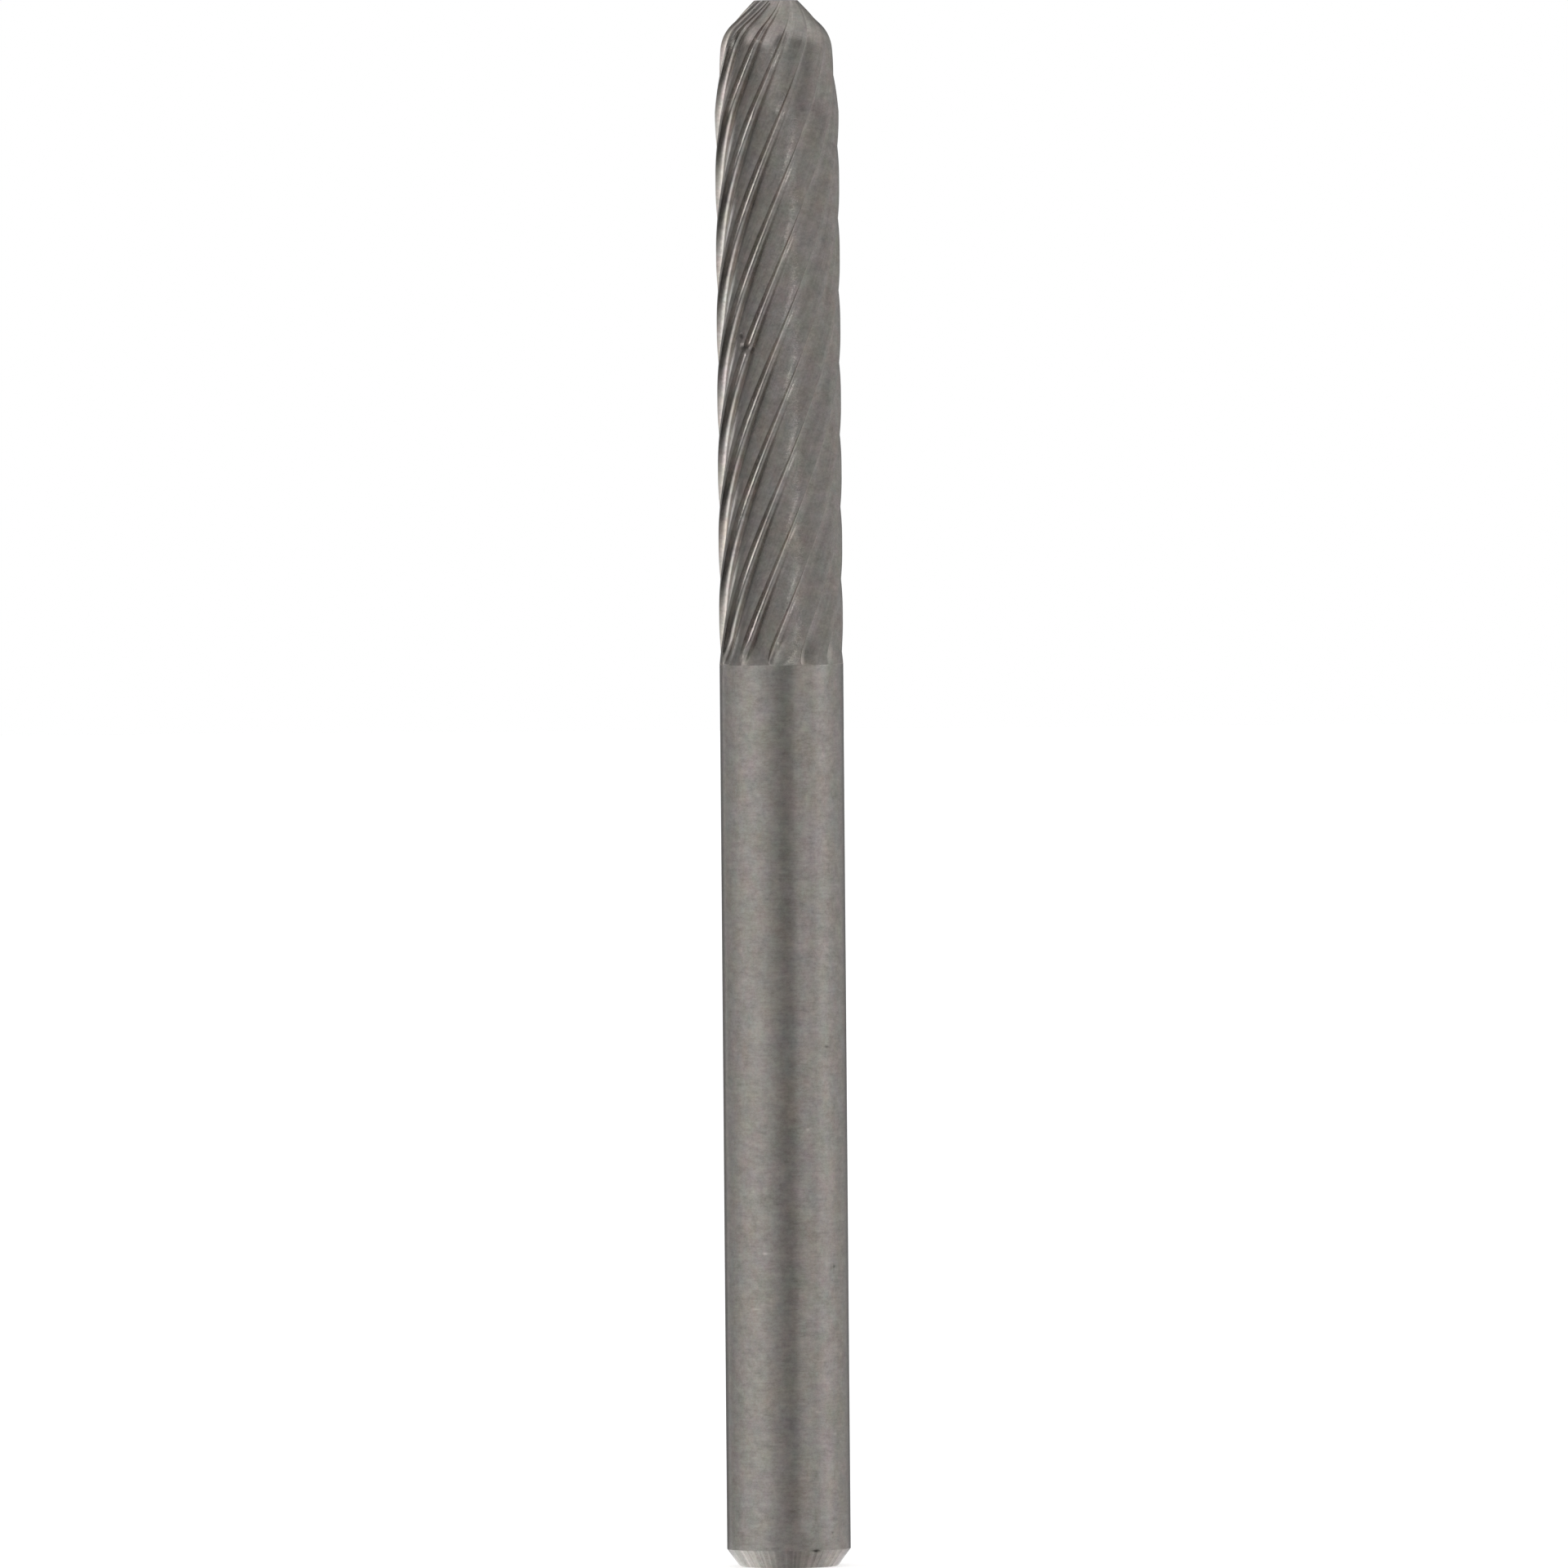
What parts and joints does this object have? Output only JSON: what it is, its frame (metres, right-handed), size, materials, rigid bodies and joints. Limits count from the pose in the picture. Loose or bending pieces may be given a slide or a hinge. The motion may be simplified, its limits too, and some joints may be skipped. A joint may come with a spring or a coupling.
{
  "type": "carbide burr",
  "caption": "Small solid carbide burr: plain round shank, and a fluted cylindrical cutting head with a blunt coned nose.",
  "frame": {"origin": "centre of the flat face at the shank end, on which the burr stands", "axes": "+Z along the axis from the shank end to the nose; +X and +Y are square to it, and -Y faces the viewer of the picture"},
  "size_m": [0.003, 0.003, 0.038],
  "materials": {
    "carbide": "satin ground, bare cemented carbide"
  },
  "bodies": {
    "root": {"burr": "carbide"}
  },
  "joints": []
}
